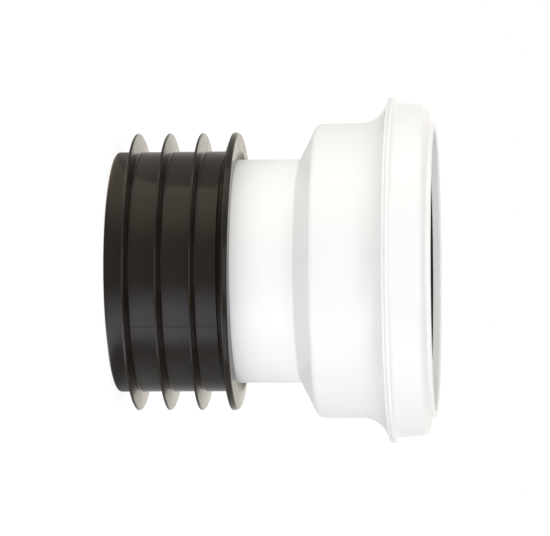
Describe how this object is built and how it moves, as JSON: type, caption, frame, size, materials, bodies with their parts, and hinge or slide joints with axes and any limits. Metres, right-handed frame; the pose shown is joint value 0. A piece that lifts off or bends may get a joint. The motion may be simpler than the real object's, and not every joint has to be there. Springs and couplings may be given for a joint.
{
  "type": "toilet pan connector",
  "caption": "Straight pan connector: a white stepped body with a lip-sealed mouth for the pan's outlet, and a black finned rubber sleeve that seals in a soil pipe",
  "frame": {"origin": "middle of the outlet end, which the connector stands on", "axes": "+Z runs along the waterway from the outlet end to the pan's mouth; the part is round about Z, so X and Y are free"},
  "size_m": [0.1384, 0.1384, 0.1281],
  "materials": {
    "white_plastic": "smooth moulded, soft gloss",
    "ring_plastic": "smooth moulded, soft gloss",
    "sleeve_rubber": "moulded, satin",
    "mouth_rubber": "moulded, satin"
  },
  "bodies": {
    "root": {"body": "white_plastic", "retaining_ring": "ring_plastic", "outlet_seal": "sleeve_rubber", "inlet_seal": "mouth_rubber"}
  },
  "joints": []
}
